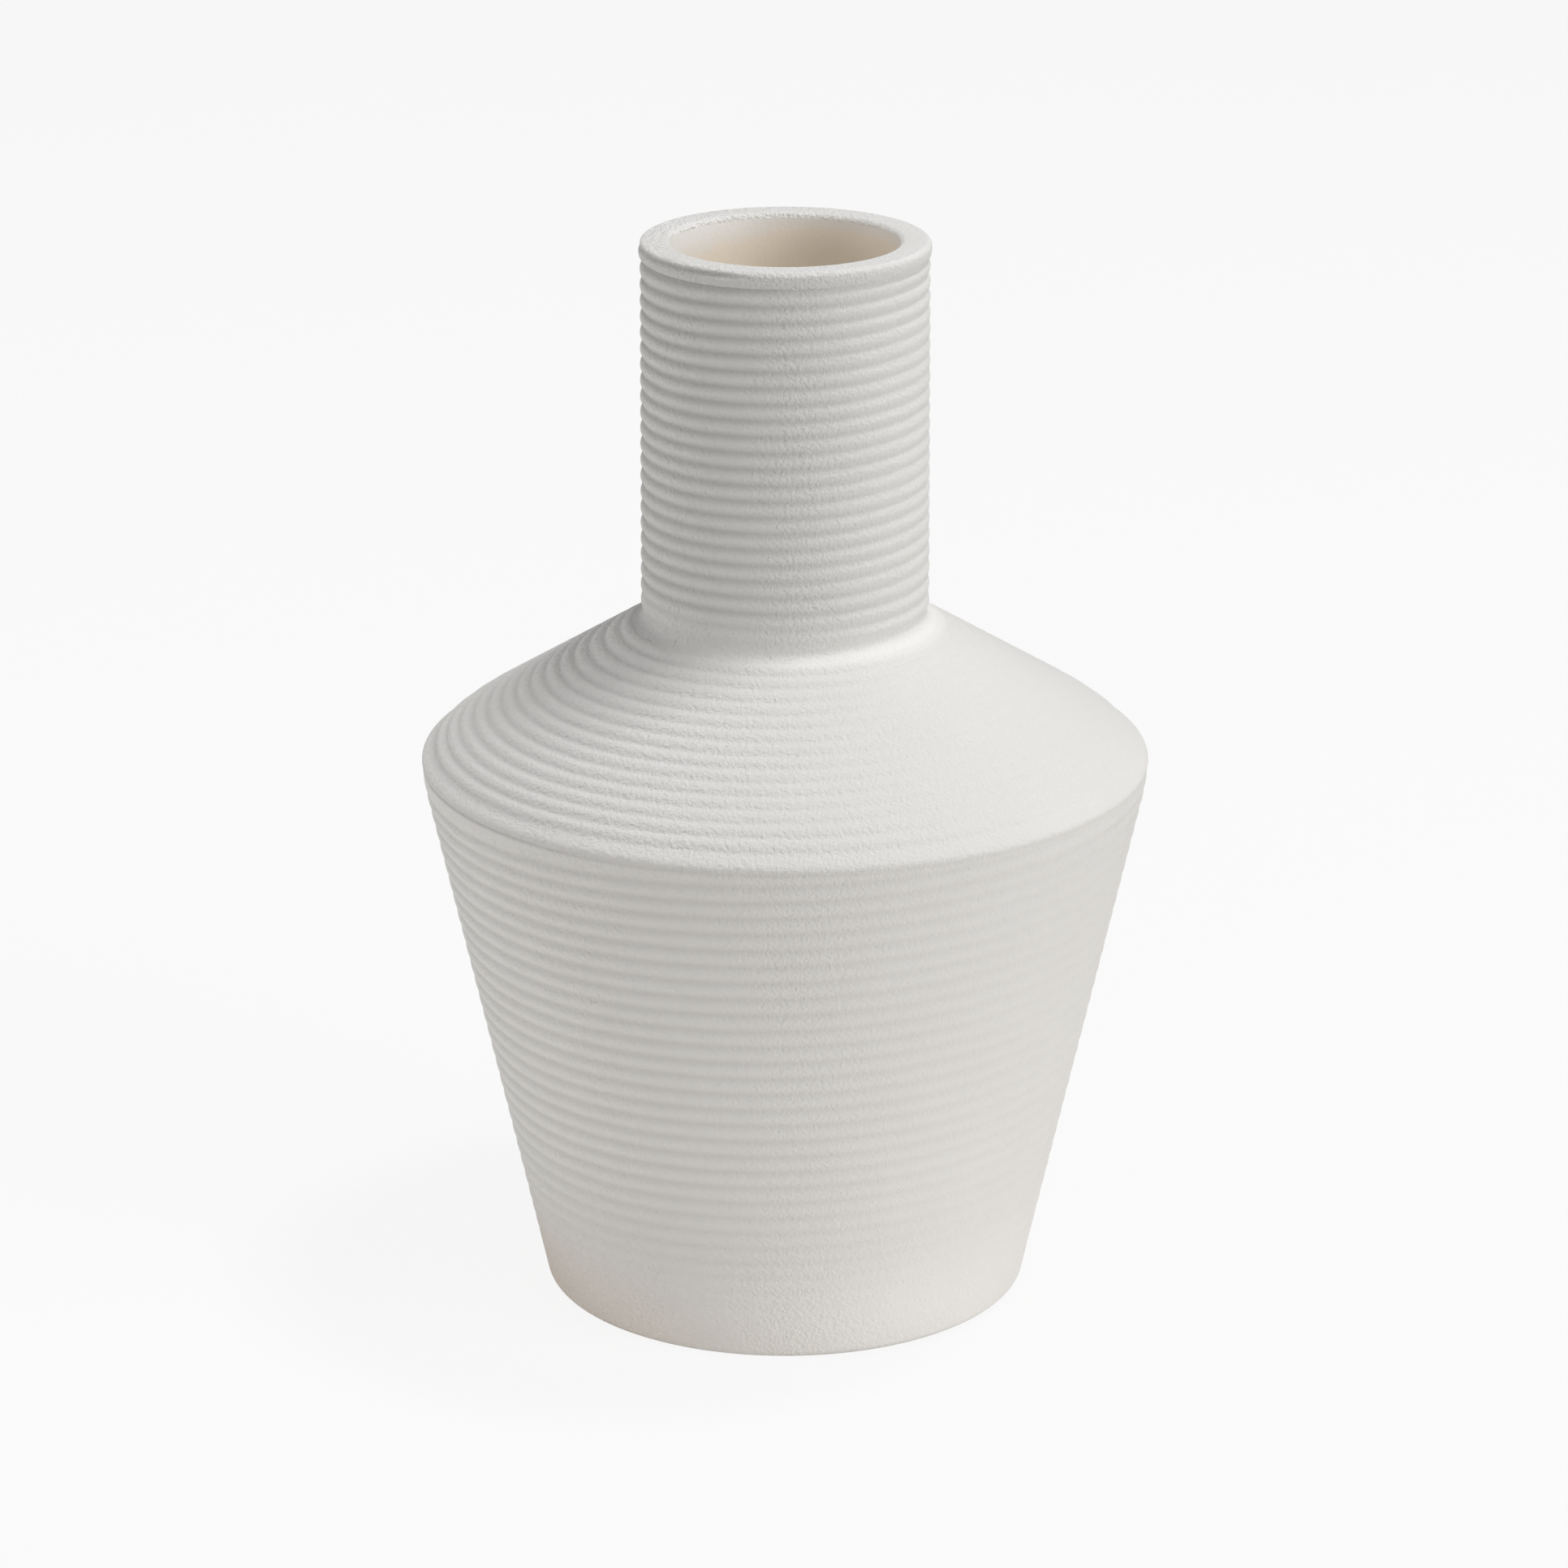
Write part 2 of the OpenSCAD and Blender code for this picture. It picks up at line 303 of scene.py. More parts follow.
def wall_line(height):
    """The outer radius of the plain wall, which leans out evenly from the base."""
    return BASE_R + height * math.tan(WALL_LEAN)


def inner_wall_line(height, thickness):
    """The radius of a line beside the wall's, a thickness away square to it."""
    return wall_line(height) - thickness / math.cos(WALL_LEAN)


def floor_curve(inset):
    """The hollow's round between floor and wall, at an inset from the clay: an arc about a middle that
    lies its radius above the floor and its radius from the inner line of the wall."""
    middle_z = slab_top + FLOOR_ROUND
    middle = (inner_wall_line(middle_z, HOLLOW_WALL + FLOOR_ROUND), middle_z)
    return arc(middle, FLOOR_ROUND - inset, -math.pi / 2, -WALL_LEAN)


def levels(cad_node):
    """The heights of the bottom and the top of a CAD node."""
    low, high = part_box(cad_node)
    return low.z, high.z


def edges(cad_node):
    """The same two heights as a grid of two rows, for a layer that is too thin to need more."""
    return np.array(levels(cad_node))[:, None]


def level_cut(curve, low, high):
    """The part of a rising curve between two heights, with its ends cut level."""
    inside = curve[(curve[:, 1] > low) & (curve[:, 1] < high)]
    ends = np.array([[np.interp(z, curve[:, 1], curve[:, 0]), z] for z in (low, high)])
    return np.concatenate([ends[:1], inside, ends[1:]])


def walled(name, outer, inner_curve, coarse=WALL_COARSE):
    """A ring of clay: the grids of its outer surface, rising, and behind them a plain inner curve. Near
    the ground the outside gets painted light, and on the left a warm, darker painted shade."""
    radius, height, shade = outer
    front = (radius, height, shade + painted_foot_light(height), warm_painted_foot_shade(height))
    round_vase = np.ones((1, COLUMNS))
    back = inner_curve[::-1, :, None] * round_vase
    plain = 0 * back[:, 0]
    grids = [
        np.concatenate([grid * round_vase, inner])
        for grid, inner in zip(front, (back[:, 0], back[:, 1], plain, plain))
    ]
    return turned(name, *grids, coarse=coarse)


base_edge = edges("base_slip")
base_joint = walled(
    "slip_under_wall",
    (wall_line(base_edge), base_edge, 0 * base_edge),
    level_cut(floor_curve(0.0), *levels("base_slip")),
)
dress(base_joint, slip, "base_slip")


# Wall
# The cone of the body, thrown on the wheel from sandy stoneware and ribbed with a toothed tool while it
# turns. The ribs fade out towards the base, and they lie higher on the vase's right than on its left.
RIDGE_R = 0.081
RIDGE_ROUND = 0.0035
CROWN_ROUND = 0.05
CROWN_TURN = math.radians(14)
SHOULDER_SLOPE = math.radians(31.4)
SEAM_ABOVE_RIDGE = 0.0003
SEAM_DROP = 0.0016
SEAM_EASE = 0.0005
LIP_WIDTH = 0.0013
LIP_FADE = 0.005
NECK_FOOT_R = 0.0318
BELLY_ROUND = 0.008
THROAT_R = 0.025
WALL_RIBS = 29
WALL_RIB_FADE = 0.016
WALL_TILT = 0.03
# Painted shade in the wall's grooves, fading towards the base.
WALL_SHADE = 0.086
WALL_SHADE_FADE = 0.045
# Painted light: the crests are painted paler, by this share of the grooves' painted shade.
CREST_PAINTED_LIGHT = 0.3
# Painted shade in the grooves on the far left, where the lamps' light grazes the ribs.
FAR_LEFT_SHADE = 0.2
FAR_LEFT_FROM = 0.45
FAR_LEFT_AT = 0.85
SHADE_CHANGE = 1.0
RIB_DEPTH = 0.0005
RIB_SOFTNESS = 0.3
RIB_ROWS = 12
CREST = 0.5
JOINT_FADE = 0.015
DEPTH_CHANGE = 0.15
DEPTH_START = 1.3
DEPTH_RATES = (2.1, 0.9)
DEPTH_SHARES = (0.6, 0.4)
OFF_CENTRE = 0.35
WANDER = 0.0001
WANDER_WAVES = (2, 3, 4)
WANDER_DRIFT = 25
WANDER_SEED = 7
REACH_STEPS = 200

ridge_middle_r = RIDGE_R - RIDGE_ROUND
ridge_middle_z = (ridge_middle_r + RIDGE_ROUND / math.cos(WALL_LEAN) - BASE_R) / math.tan(WALL_LEAN)
shoulder_normal = math.pi / 2 - SHOULDER_SLOPE
crown_normal = shoulder_normal - CROWN_TURN
wall_length = ridge_middle_z / math.cos(WALL_LEAN) - RIDGE_ROUND * math.tan(WALL_LEAN)
ridge_length = RIDGE_ROUND * (crown_normal + WALL_LEAN)
crown_length = CROWN_ROUND * CROWN_TURN
crown_middle_r = ridge_middle_r - (CROWN_ROUND - RIDGE_ROUND) * math.cos(crown_normal)
crown_middle_z = ridge_middle_z - (CROWN_ROUND - RIDGE_ROUND) * math.sin(crown_normal)
crown_end_r = crown_middle_r + CROWN_ROUND * math.cos(shoulder_normal)
crown_end_z = crown_middle_z + CROWN_ROUND * math.sin(shoulder_normal)
shoulder_length = (crown_end_r - NECK_FOOT_R) / math.cos(SHOULDER_SLOPE)
neck_foot = wall_length + ridge_length + crown_length + shoulder_length
neck_foot_z = crown_end_z + shoulder_length * math.sin(SHOULDER_SLOPE)
seam = wall_length + RIDGE_ROUND * WALL_LEAN + SEAM_ABOVE_RIDGE
stray_starts = np.random.default_rng(WANDER_SEED).uniform(0, 2 * np.pi, len(WANDER_WAVES))


def outline(along, sunk):
    """Radius and height of the body's outer surface at a distance up the outline from the table, sunk
    into the clay square to it. The outline is the straight wall, a tight arc over the ridge, a wide arc
    for the crown of the shoulder, and the straight shoulder up to the foot of the neck."""
    on_ridge = along - wall_length
    on_crown = on_ridge - ridge_length
    on_shoulder = on_crown - crown_length
    parts = [on_ridge < 0, on_crown < 0, on_shoulder < 0]
    normal = np.select(parts, [
        -WALL_LEAN + 0 * along,
        -WALL_LEAN + on_ridge / RIDGE_ROUND,
        crown_normal + on_crown / CROWN_ROUND,
    ], shoulder_normal)
    radius = np.select(parts, [
        BASE_R + along * math.sin(WALL_LEAN),
        ridge_middle_r + RIDGE_ROUND * np.cos(normal),
        crown_middle_r + CROWN_ROUND * np.cos(normal),
    ], crown_end_r - on_shoulder * math.cos(SHOULDER_SLOPE))
    height = np.select(parts, [
        along * math.cos(WALL_LEAN),
        ridge_middle_z + RIDGE_ROUND * np.sin(normal),
        crown_middle_z + CROWN_ROUND * np.sin(normal),
    ], crown_end_z + on_shoulder * math.sin(SHOULDER_SLOPE))
    return radius - sunk * np.cos(normal), height - sunk * np.sin(normal)


def rib(phase, softness=RIB_SOFTNESS):
    """Depth below the crests, from 0 on a crest to 1 in a groove: one less the size of a sine, softened
    where it turns, so that the ribs are round and the grooves between them narrower. A groove lies at
    each whole phase, and a crest half way between two."""
    wave = np.sqrt(np.sin(np.pi * phase) ** 2 + softness ** 2)
    return 1 - (wave - softness) / (np.sqrt(1 + softness ** 2) - softness)


def away_from(along, low, high):
    """1 on the middle of a section, easing to 0 at its two joints, where everything lies level."""
    return smooth_step((along - low) / JOINT_FADE) * smooth_step((high - along) / JOINT_FADE)


def stray(along, free):
    """How far a rib strays along the outline as the wheel turns: a sum of slow sine waves round the
    vase, each divided by its number, that turn slowly from rib to rib and are still at the joints."""
    strays = sum(
        np.sin(waves * turn + start + WANDER_DRIFT * (waves - 1) * along) / waves
        for waves, start in zip(WANDER_WAVES, stray_starts)
    )
    return WANDER * strays * free


def cut_depth(phase, free, off_centre):
    """How deep the tool cut: the full depth at the joints, and elsewhere a depth that changes slowly
    from rib to rib, by the shares of two sines, one of which also turns round the vase. It is larger
    on the vase's left, which ran off the wheel's centre."""
    even = DEPTH_SHARES[0] * np.sin(DEPTH_RATES[0] * phase + DEPTH_START)
    turning = DEPTH_SHARES[1] * np.sin(DEPTH_RATES[1] * phase + turn)
    slow = 0.5 + 0.5 * (even + turning)
    return RIB_DEPTH * (1 - (DEPTH_CHANGE * slow + off_centre * np.cos(turn)) * free)


def groove_shade(full, groove):
    """Painted shade in a groove, for the shade that falls in it: in proportion to the groove's depth,
    and more so on the vase's left, where less light falls, by the cosine of the angle round the vase."""
    return full * groove * (1 - SHADE_CHANGE * np.cos(turn))


# Painted shade for the grooves on the far left.
far_left_shade = FAR_LEFT_SHADE * smooth_step(-np.cos(turn), FAR_LEFT_FROM, FAR_LEFT_AT)


def wall_surface(along):
    """Radius, height and shade of the ribbed wall. The ribs tilt: each is lifted in proportion to its
    distance to the right of the axis, and its phase counts down from the seam. The seam's own groove is
    level, so it cuts into the first rib, which stays back under the shoulder's edge. The grooves carry
    painted shade and the crests painted light, both fading towards the base, and on the far left the
    seam's groove has more painted shade, by the square of its depth."""
    free = away_from(along, wall_start, seam)
    plain_r, plain_z = outline(along, 0.0)
    below = seam - along
    tilt = WALL_TILT * plain_r * np.cos(turn) * smooth_step((along - wall_start) / JOINT_FADE)
    drop = SEAM_DROP - SEAM_EASE * (1 - smooth_step(below / JOINT_FADE))
    phase = (below + drop + tilt + stray(along, free)) / wall_pitch
    lip = rib(CREST * np.clip(below / LIP_WIDTH, 0, 1))
    cut = np.maximum(rib(np.maximum(phase, CREST)), lip)
    groove = cut * np.clip((plain_z - wall_low) / WALL_RIB_FADE, 0, 1)
    under_lip = 1 - smooth_step(below / LIP_FADE)
    sunk = cut_depth(phase, free, OFF_CENTRE) * (groove + (1 - groove) * under_lip)
    full = WALL_SHADE * smooth_step((plain_z - wall_low) / WALL_SHADE_FADE)
    shade = groove_shade(full, groove - CREST_PAINTED_LIGHT) + far_left_shade * lip ** 2
    return *outline(along + 0 * turn, sunk), shade


def body_hollow(inset):
    """The hollow of the body as a rising curve, parallel to the outside: the floor's round, the wall,
    the round behind the ridge, the slope up to the throat and the bore up to the mouth."""
    rise = math.tan(SHOULDER_SLOPE)
    axis_z = neck_foot_z + NECK_FOOT_R * rise - (HOLLOW_WALL + inset) / math.cos(SHOULDER_SLOPE)
    belly_z = neck_foot_z + NECK_FOOT_R * rise - (HOLLOW_WALL + BELLY_ROUND) / math.cos(SHOULDER_SLOPE)
    belly_r = (
        (inner_wall_line(0, HOLLOW_WALL + BELLY_ROUND) + belly_z * math.tan(WALL_LEAN))
        / (1 + math.tan(WALL_LEAN) * rise)
    )
    belly_middle = (belly_r, belly_z - belly_r * rise)
    bore_r = THROAT_R - inset
    return np.concatenate([
        floor_curve(inset),
        arc(belly_middle, BELLY_ROUND - inset, -WALL_LEAN, shoulder_normal),
        [[bore_r, axis_z - bore_r * rise], [bore_r, mouth_z]],
    ])


def reach(surface, low, high, height):
    """The distance along, between two others, at which a surface reaches a height at its joint."""
    trial = np.linspace(low, high, REACH_STEPS)[:, None]
    return np.interp(height, surface(trial)[1].mean(axis=1), trial[:, 0])


mouth_z = levels("inner_glaze")[1]
clay_hollow = body_hollow(0.0)
wall_low, wall_high = levels("body_wall")
wall_start = wall_low / math.cos(WALL_LEAN)
wall_pitch = (seam + SEAM_DROP - wall_start) / WALL_RIBS
wall_end = reach(wall_surface, wall_length, seam, wall_high)
up_wall = np.linspace(wall_start, wall_end, WALL_RIBS * RIB_ROWS + 1)[:, None]
wall = walled("ribbed_wall", wall_surface(up_wall), level_cut(clay_hollow, wall_low, wall_high))
dress(wall, clay, "body_wall")


# Ridge joint
# Slip in the groove at the edge of the ridge: liquid clay brushed on where the shoulder was set on the
# wall. It carries on the wall's own surface up to the seam.
RIDGE_SLIP_ROWS = 4

up_joint = np.linspace(wall_end, seam, RIDGE_SLIP_ROWS)[:, None]
ridge_joint = walled(
    "slip_at_ridge", wall_surface(up_joint), level_cut(clay_hollow, *levels("ridge_slip")))
dress(ridge_joint, slip, "ridge_slip")


# Shoulder
# The sloping upper half of the body, thrown as a ring of the same clay and ribbed like the wall. It
# ends in a plain crease and a small hollow curve that turns up into the neck.
SHOULDER_RIBS = 15
SHOULDER_TILT = 0.015
SHOULDER_OFF_CENTRE = 0.75
SHOULDER_COARSE = 0.95
SHALLOWER = 0.2
SEAM_SHARPNESS = 0.7
CREASE_WIDTH = 0.0021
CREASE_ROWS = 6
# Painted shadow in the crease at the neck's foot, strongest on the left, where the neck casts its
# shadow, and painted light that makes the crease paler elsewhere.
CREASE_SHADE = 0.34
CREASE_POWER = 5
CREASE_TOP_SHARE = 0.3
CREASE_PAINTED_LIGHT = 0.1
NECK_ROUND = 0.0022
CURVE_ROWS = 14

first_rib = neck_foot - CREASE_WIDTH
# The crease's painted shadow, less its painted light.
crease_shade = CREASE_SHADE * to_left(CREASE_POWER) - CREASE_PAINTED_LIGHT
shoulder_pitch = (first_rib - seam - SEAM_DROP) / SHOULDER_RIBS


def shoulder_surface(along):
    """Radius, height and shade of the ribbed shoulder, with a rib's phase counted up from the seam,
    where the first rib is wider by the seam's drop and fuller beside it, by a power. The crease keeps
    the depth of a groove. The groove at the seam has painted shade like the wall's, and the others only
    on the far left, in proportion to the square of their depth. Towards the crease, the crease's
    painted shadow and painted light take over."""
    free = away_from(along, seam, first_rib)
    plain_r, plain_z = outline(along, 0.0)
    lift = SHOULDER_TILT * plain_r * np.cos(turn) * free + stray(along, free)
    above = along - lift - seam
    first = np.clip(above / (shoulder_pitch + SEAM_DROP), 0, 1) ** SEAM_SHARPNESS
    others = np.clip((above - SEAM_DROP) / shoulder_pitch - 1, 0, SHOULDER_RIBS - 1)
    phase = first + others
    groove = rib(phase) * (1 - SHALLOWER * free)
    wiped = smooth_step(1 + (along - first_rib) / shoulder_pitch)
    depth = cut_depth(phase, free, SHOULDER_OFF_CENTRE) * groove
    at_seam = groove_shade(WALL_SHADE * (1 - CREST_PAINTED_LIGHT), groove * (phase < CREST))
    on_left = far_left_shade * groove ** 2 * (1 - wiped)
    return *outline(along + 0 * turn, depth), at_seam + on_left + crease_shade * wiped


shoulder_low, shoulder_high = levels("shoulder")
curve_r = NECK_ROUND + RIB_DEPTH
neck_curve = arc(
    (NECK_FOOT_R + NECK_ROUND, shoulder_high), curve_r, math.pi + shoulder_normal, math.pi, CURVE_ROWS)
curve_foot = neck_foot - NECK_ROUND * math.tan(shoulder_normal / 2)
up_shoulder = np.concatenate([
    np.linspace(seam, first_rib, SHOULDER_RIBS * RIB_ROWS + 1),
    np.linspace(first_rib, curve_foot, CREASE_ROWS)[1:-1],
])[:, None]
# The hollow curve takes the crease's painted shadow and painted light, in full at the crease and in a
# share at the neck.
up_curve = np.linspace(1, CREASE_TOP_SHARE, CURVE_ROWS)[:, None]
curve_grids = (neck_curve[:, :1] + 0 * turn, neck_curve[:, 1:] + 0 * turn, up_curve * crease_shade)
shoulder_skin = [np.concatenate(grids) for grids in zip(shoulder_surface(up_shoulder), curve_grids)]
shoulder = walled(
    "ribbed_shoulder", shoulder_skin, level_cut(clay_hollow, shoulder_low, shoulder_high),
    SHOULDER_COARSE)
dress(shoulder, clay, "shoulder")


# Neck joint
# Slip in the crease at the neck's foot: liquid clay brushed on where the neck was set on the shoulder.
# It was wiped smooth, so the groove between the two is left soft here.
neck_edge = edges("neck_slip")
# The slip takes a share of the crease's painted shadow and painted light.
joint_shade = CREASE_TOP_SHARE * crease_shade
neck_joint = walled(
    "slip_at_neck",
    (NECK_FOOT_R - RIB_DEPTH + 0 * neck_edge, neck_edge, joint_shade + 0 * neck_edge),
    level_cut(clay_hollow, *levels("neck_slip")),
)
dress(neck_joint, slip, "neck_slip")


# Neck
# A straight tube of the same clay, thrown by itself, ribbed to the pitch of one tool and set on the
# shoulder. Its lowest ribs were wiped when the crease was.
NECK_TOP_R = 0.0315
NECK_RIBS = 22
NECK_TILT = 0.015
NECK_LIFT = 0.00017
NECK_LIP = 0.001
NECK_COARSE = 1.2
# Painted shade in the neck's grooves, strongest at the top and on the left, and painted light that
# makes the clay paler on the left.
NECK_SHADE = 0.205
NECK_SHADE_FALL = 0.3
NECK_LEFT_PAINTED_LIGHT = 0.06
NECK_PALE_POWER = 3
WIPED_RIBS = 2
WIPED_SHALLOWER = 0.4
CREASE_RIBS = 0.5

neck_low, neck_high = levels("neck")
neck_pitch = (neck_high - neck_low) / NECK_RIBS


def neck_surface(height):
    """Radius, height and shade of the neck: a tube that narrows evenly to its top, sunk by the ribs,
    whose phase counts up from the neck's foot. The grooves' painted shade is strongest at the top, and
    the lowest are wiped soft, with the crease's painted shadow and painted light at the very foot. The
    clay is painted a little paler on the left, as painted light. The tilt runs on up to the rim, where
    the level groove of the joint cuts into the last rib."""
    free = away_from(height, neck_low, neck_high)
    plain_r = np.interp(height, [neck_low, neck_high], [NECK_FOOT_R, NECK_TOP_R])
    tilt = NECK_TILT * plain_r * np.cos(turn) * smooth_step((height - neck_low) / JOINT_FADE)
    phase = (height - NECK_LIFT * free - tilt - stray(height, free) - neck_low) / neck_pitch
    wiped = 1 - smooth_step((height - neck_low) / neck_pitch)
    fall = 1 - NECK_SHADE_FALL * (neck_high - height) / (neck_high - neck_low)
    clean = smooth_step((height - neck_low) / (WIPED_RIBS * neck_pitch))
    at_foot = 1 - smooth_step((height - neck_low) / (CREASE_RIBS * neck_pitch))
    groove = rib(phase, RIB_SOFTNESS + (1 - RIB_SOFTNESS) * wiped)
    groove = groove * (1 - WIPED_SHALLOWER * (1 - clean) * (1 - at_foot))
    groove = np.maximum(groove, rib(CREST * np.clip((neck_high - height) / NECK_LIP, 0, 1)))
    shade = groove_shade(NECK_SHADE * fall * clean, groove) + joint_shade * at_foot
    shade = shade - NECK_LEFT_PAINTED_LIGHT * to_left(NECK_PALE_POWER)
    return plain_r - cut_depth(phase, free, OFF_CENTRE) * groove, height + 0 * turn, shade


up_neck = np.linspace(neck_low, neck_high, NECK_RIBS * RIB_ROWS + 1)[:, None]
neck = walled(
    "ribbed_neck", neck_surface(up_neck), level_cut(clay_hollow, neck_low, neck_high), NECK_COARSE)
dress(neck, clay, "neck")


# Rim joint
# Slip in the first groove under the rim: liquid clay brushed on where the coil for the rim was pressed
# down and thrown round.
rim_edge = edges("rim_slip")
# The slip in the groove under the rim takes the neck's painted shade in a groove.
rim_joint = walled(
    "slip_under_rim",
    (NECK_TOP_R - RIB_DEPTH + 0 * rim_edge, rim_edge, groove_shade(NECK_SHADE, 1 + 0 * rim_edge)),
    level_cut(clay_hollow, *levels("rim_slip")),
)
dress(rim_joint, slip, "rim_slip")


# Rim
# The coil that strengthens the mouth, smoothed with a wet leather: a level top with rounded edges, a
# little proud of the ribs. One more rib shows on its left, and glaze creeps up over its inner edge.
RIM_FLARE = 0.0003
RIM_ROUND = 0.0013
RIM_LOWER_EDGE = 0.0018
RIM_ROWS = 12
FACE_ROWS = 5
RIM_GROOVE_DOWN = 0.0012
RIM_GROOVE_WIDTH = 0.0006
RIM_GROOVE_DEPTH = 0.0005
# Painted shade in the rim's groove on the left.
RIM_GROOVE_SHADE = 0.26
RIM_GROOVE_FROM = 0.12
RIM_GROOVE_AT = 0.5
RIM_COLOUR = (0.84, 0.835, 0.825, 1)
RIM_ROUGHNESS = (0.8, 0.95)
RIM_GRAIN = 0.0007
RIM_COARSE = 1.1
# Painted shade on the rim's outer face, most in front, and painted light that makes the rim paler on
# the left.
RIM_FACE_SHADE = 0.1
RIM_LEFT_PAINTED_LIGHT = 0.1
RIM_PALE_POWER = 2
# Painted light: the rim's inner side is painted paler, to meet the bare clay inside.
INSIDE_PAINTED_LIGHT = 0.04
# The glaze's own cream colour, and deeper down a paler colour as painted light, for the light that
# reaches down the bore.
THIN_GLAZE = (0.94, 0.84, 0.72, 1)
DEEP_GLAZE_PAINTED_LIGHT = (0.99, 0.9, 0.765, 1)
DEEP_LIGHT_FROM = 0.004
DEEP_LIGHT_AT = 0.014
# Painted light: on the left the bare clay runs further down before the glaze, on the inner wall that
# faces the lamps.
CREEP_START = 0.0002
CREEP_RIGHT = 0.0032
CREEP_LEFT_PAINTED_LIGHT = 0.024
CREEP_POWER = 3
RUN_WAVES = (9, 14, 23)
RUN_SHARE = 0.3

rim_low, rim_high = levels("rim")
lip_outer_r = NECK_TOP_R + RIM_FLARE
round_z = rim_high - RIM_ROUND


def glaze_cover(height):
    """How much glaze covers the inside: none at the lip, the glaze's own colour (a half) a little way
    down, and a paler colour (one) deeper, as painted light for the light that reaches down the bore.
    The glaze starts sooner on the right, and on the left the bare clay runs further down, as painted
    light on the lit inner wall. Its edge runs down in streaks: waves round the vase, each of its own
    number and start."""
    streaks = sum(np.sin(waves * turn + start) for waves, start in zip(RUN_WAVES, stray_starts))
    runs = 1 + RUN_SHARE * (streaks / len(RUN_WAVES))
    fade = CREEP_RIGHT + (CREEP_LEFT_PAINTED_LIGHT - CREEP_RIGHT) * to_left(CREEP_POWER) * runs
    depth = rim_high - height
    thin = smooth_step((depth - CREEP_START) / fade)
    deep_light = smooth_step(depth, DEEP_LIGHT_FROM, DEEP_LIGHT_AT)
    return 0.5 * (thin + deep_light)


under_turn = np.linspace(0, math.pi / 2, ARC_STEPS)[:, None]
lower_edge = RIM_LOWER_EDGE + NECK_TILT * NECK_TOP_R * np.cos(turn)
under_r = NECK_TOP_R - RIB_DEPTH + (RIM_FLARE + RIB_DEPTH) * np.sin(under_turn)
under_z = rim_low + lower_edge * (1 - np.cos(under_turn))
up_face = np.linspace(0, 1, FACE_ROWS)[1:-1, None]
face_z = rim_low + lower_edge + up_face * (round_z - rim_low - lower_edge)
rounds = np.concatenate([
    arc((lip_outer_r - RIM_ROUND, round_z), RIM_ROUND, 0, math.pi / 2, RIM_ROWS),
    arc((THROAT_R + RIM_ROUND, round_z), RIM_ROUND, math.pi / 2, math.pi, RIM_ROWS),
    [[THROAT_R, rim_low]],
])
rim_r = np.concatenate([under_r + 0 * turn, lip_outer_r + 0 * face_z, rounds[:, :1] + 0 * turn])
rim_z = np.concatenate([under_z, face_z, rounds[:, 1:] + 0 * turn])
inner_side = rim_r < (lip_outer_r + THROAT_R) / 2
down_rim = smooth_step((rim_high - rim_z) / RIM_ROUND)
on_left = smooth_step(-np.cos(turn), RIM_GROOVE_FROM, RIM_GROOVE_AT)
off_groove = (rim_high - RIM_GROOVE_DOWN - rim_z) / RIM_GROOVE_WIDTH
rim_groove = np.exp(-off_groove ** 2) * on_left * (1 - inner_side)
face_shade = RIM_FACE_SHADE * to_front(1) * (1 - inner_side)
# The rim's shade: painted shade on its face and in its groove, and painted light on its inner side and
# on the left.
rim_shade = down_rim * (face_shade - INSIDE_PAINTED_LIGHT * inner_side) + RIM_GROOVE_SHADE * rim_groove
rim_shade = rim_shade - RIM_LEFT_PAINTED_LIGHT * to_left(RIM_PALE_POWER)
rim_clay = fired_surface(
    "bisque with creeping glaze", RIM_COLOUR, RIM_ROUGHNESS, RIM_GRAIN, [THIN_GLAZE, DEEP_GLAZE_PAINTED_LIGHT])
rim = turned(
    "rolled_rim", rim_r - RIM_GROOVE_DEPTH * rim_groove, rim_z, rim_shade,
    inner_side * glaze_cover(rim_z), coarse=RIM_COARSE)
dress(rim, rim_clay, "rim")


# Glaze lining
# A cream satin glaze, poured in, swilled round and poured out before the firing, so that the clay holds
# water. It thins to nothing at the rim's inner edge, where the clay shows through.
GLAZE_THICKNESS = 0.0004
GLAZE_TAPER = 0.004
GLAZE_ROUGHNESS = (0.42, 0.6)
GLAZE_GRAIN = 0.00006
# Painted light: the bare clay inside the mouth is painted paler than the clay outside, for the light on
# the inner wall.
BARE_INSIDE_PAINTED_LIGHT = (0.93, 0.925, 0.91, 1)
LINING_ROWS = 90

glaze = fired_surface(
    "cream glaze", BARE_INSIDE_PAINTED_LIGHT, GLAZE_ROUGHNESS, GLAZE_GRAIN, [THIN_GLAZE, DEEP_GLAZE_PAINTED_LIGHT])
glaze_low = levels("inner_glaze")[0]
glaze_face = body_hollow(GLAZE_THICKNESS)
spread = np.concatenate([[0], np.cumsum(np.hypot(*np.diff(glaze_face, axis=0).T))])
face_at = np.union1d(np.linspace(0, spread[-1], LINING_ROWS), spread)
face = np.stack([np.interp(face_at, spread, glaze_face[:, k]) for k in (0, 1)], axis=-1)
thin = smooth_step((mouth_z - face[:, 1]) / GLAZE_TAPER)
face[:, 0] = np.where(
    face[:, 1] > mouth_z - GLAZE_TAPER, THROAT_R - GLAZE_THICKNESS * thin, face[:, 0])
lining = np.concatenate([clay_hollow, face[::-1][1:]])
lining_piece = turned(
    "glaze_lining", lining[:, :1], lining[:, 1:],
    covered=glaze_cover(lining[:, 1:]), poles=(glaze_low, glaze_low + GLAZE_THICKNESS))
dress(lining_piece, glaze, "inner_glaze")


# Table
# A wide plain pale table top. The camera sees it as the photo's white background, with the vase's soft
# shadow on it. The light that it throws back is warm, and fades with distance, as on a lit board.
TABLE_SIZE = 8.0
TABLE_COLOUR = (0.96, 0.932, 0.894, 1)
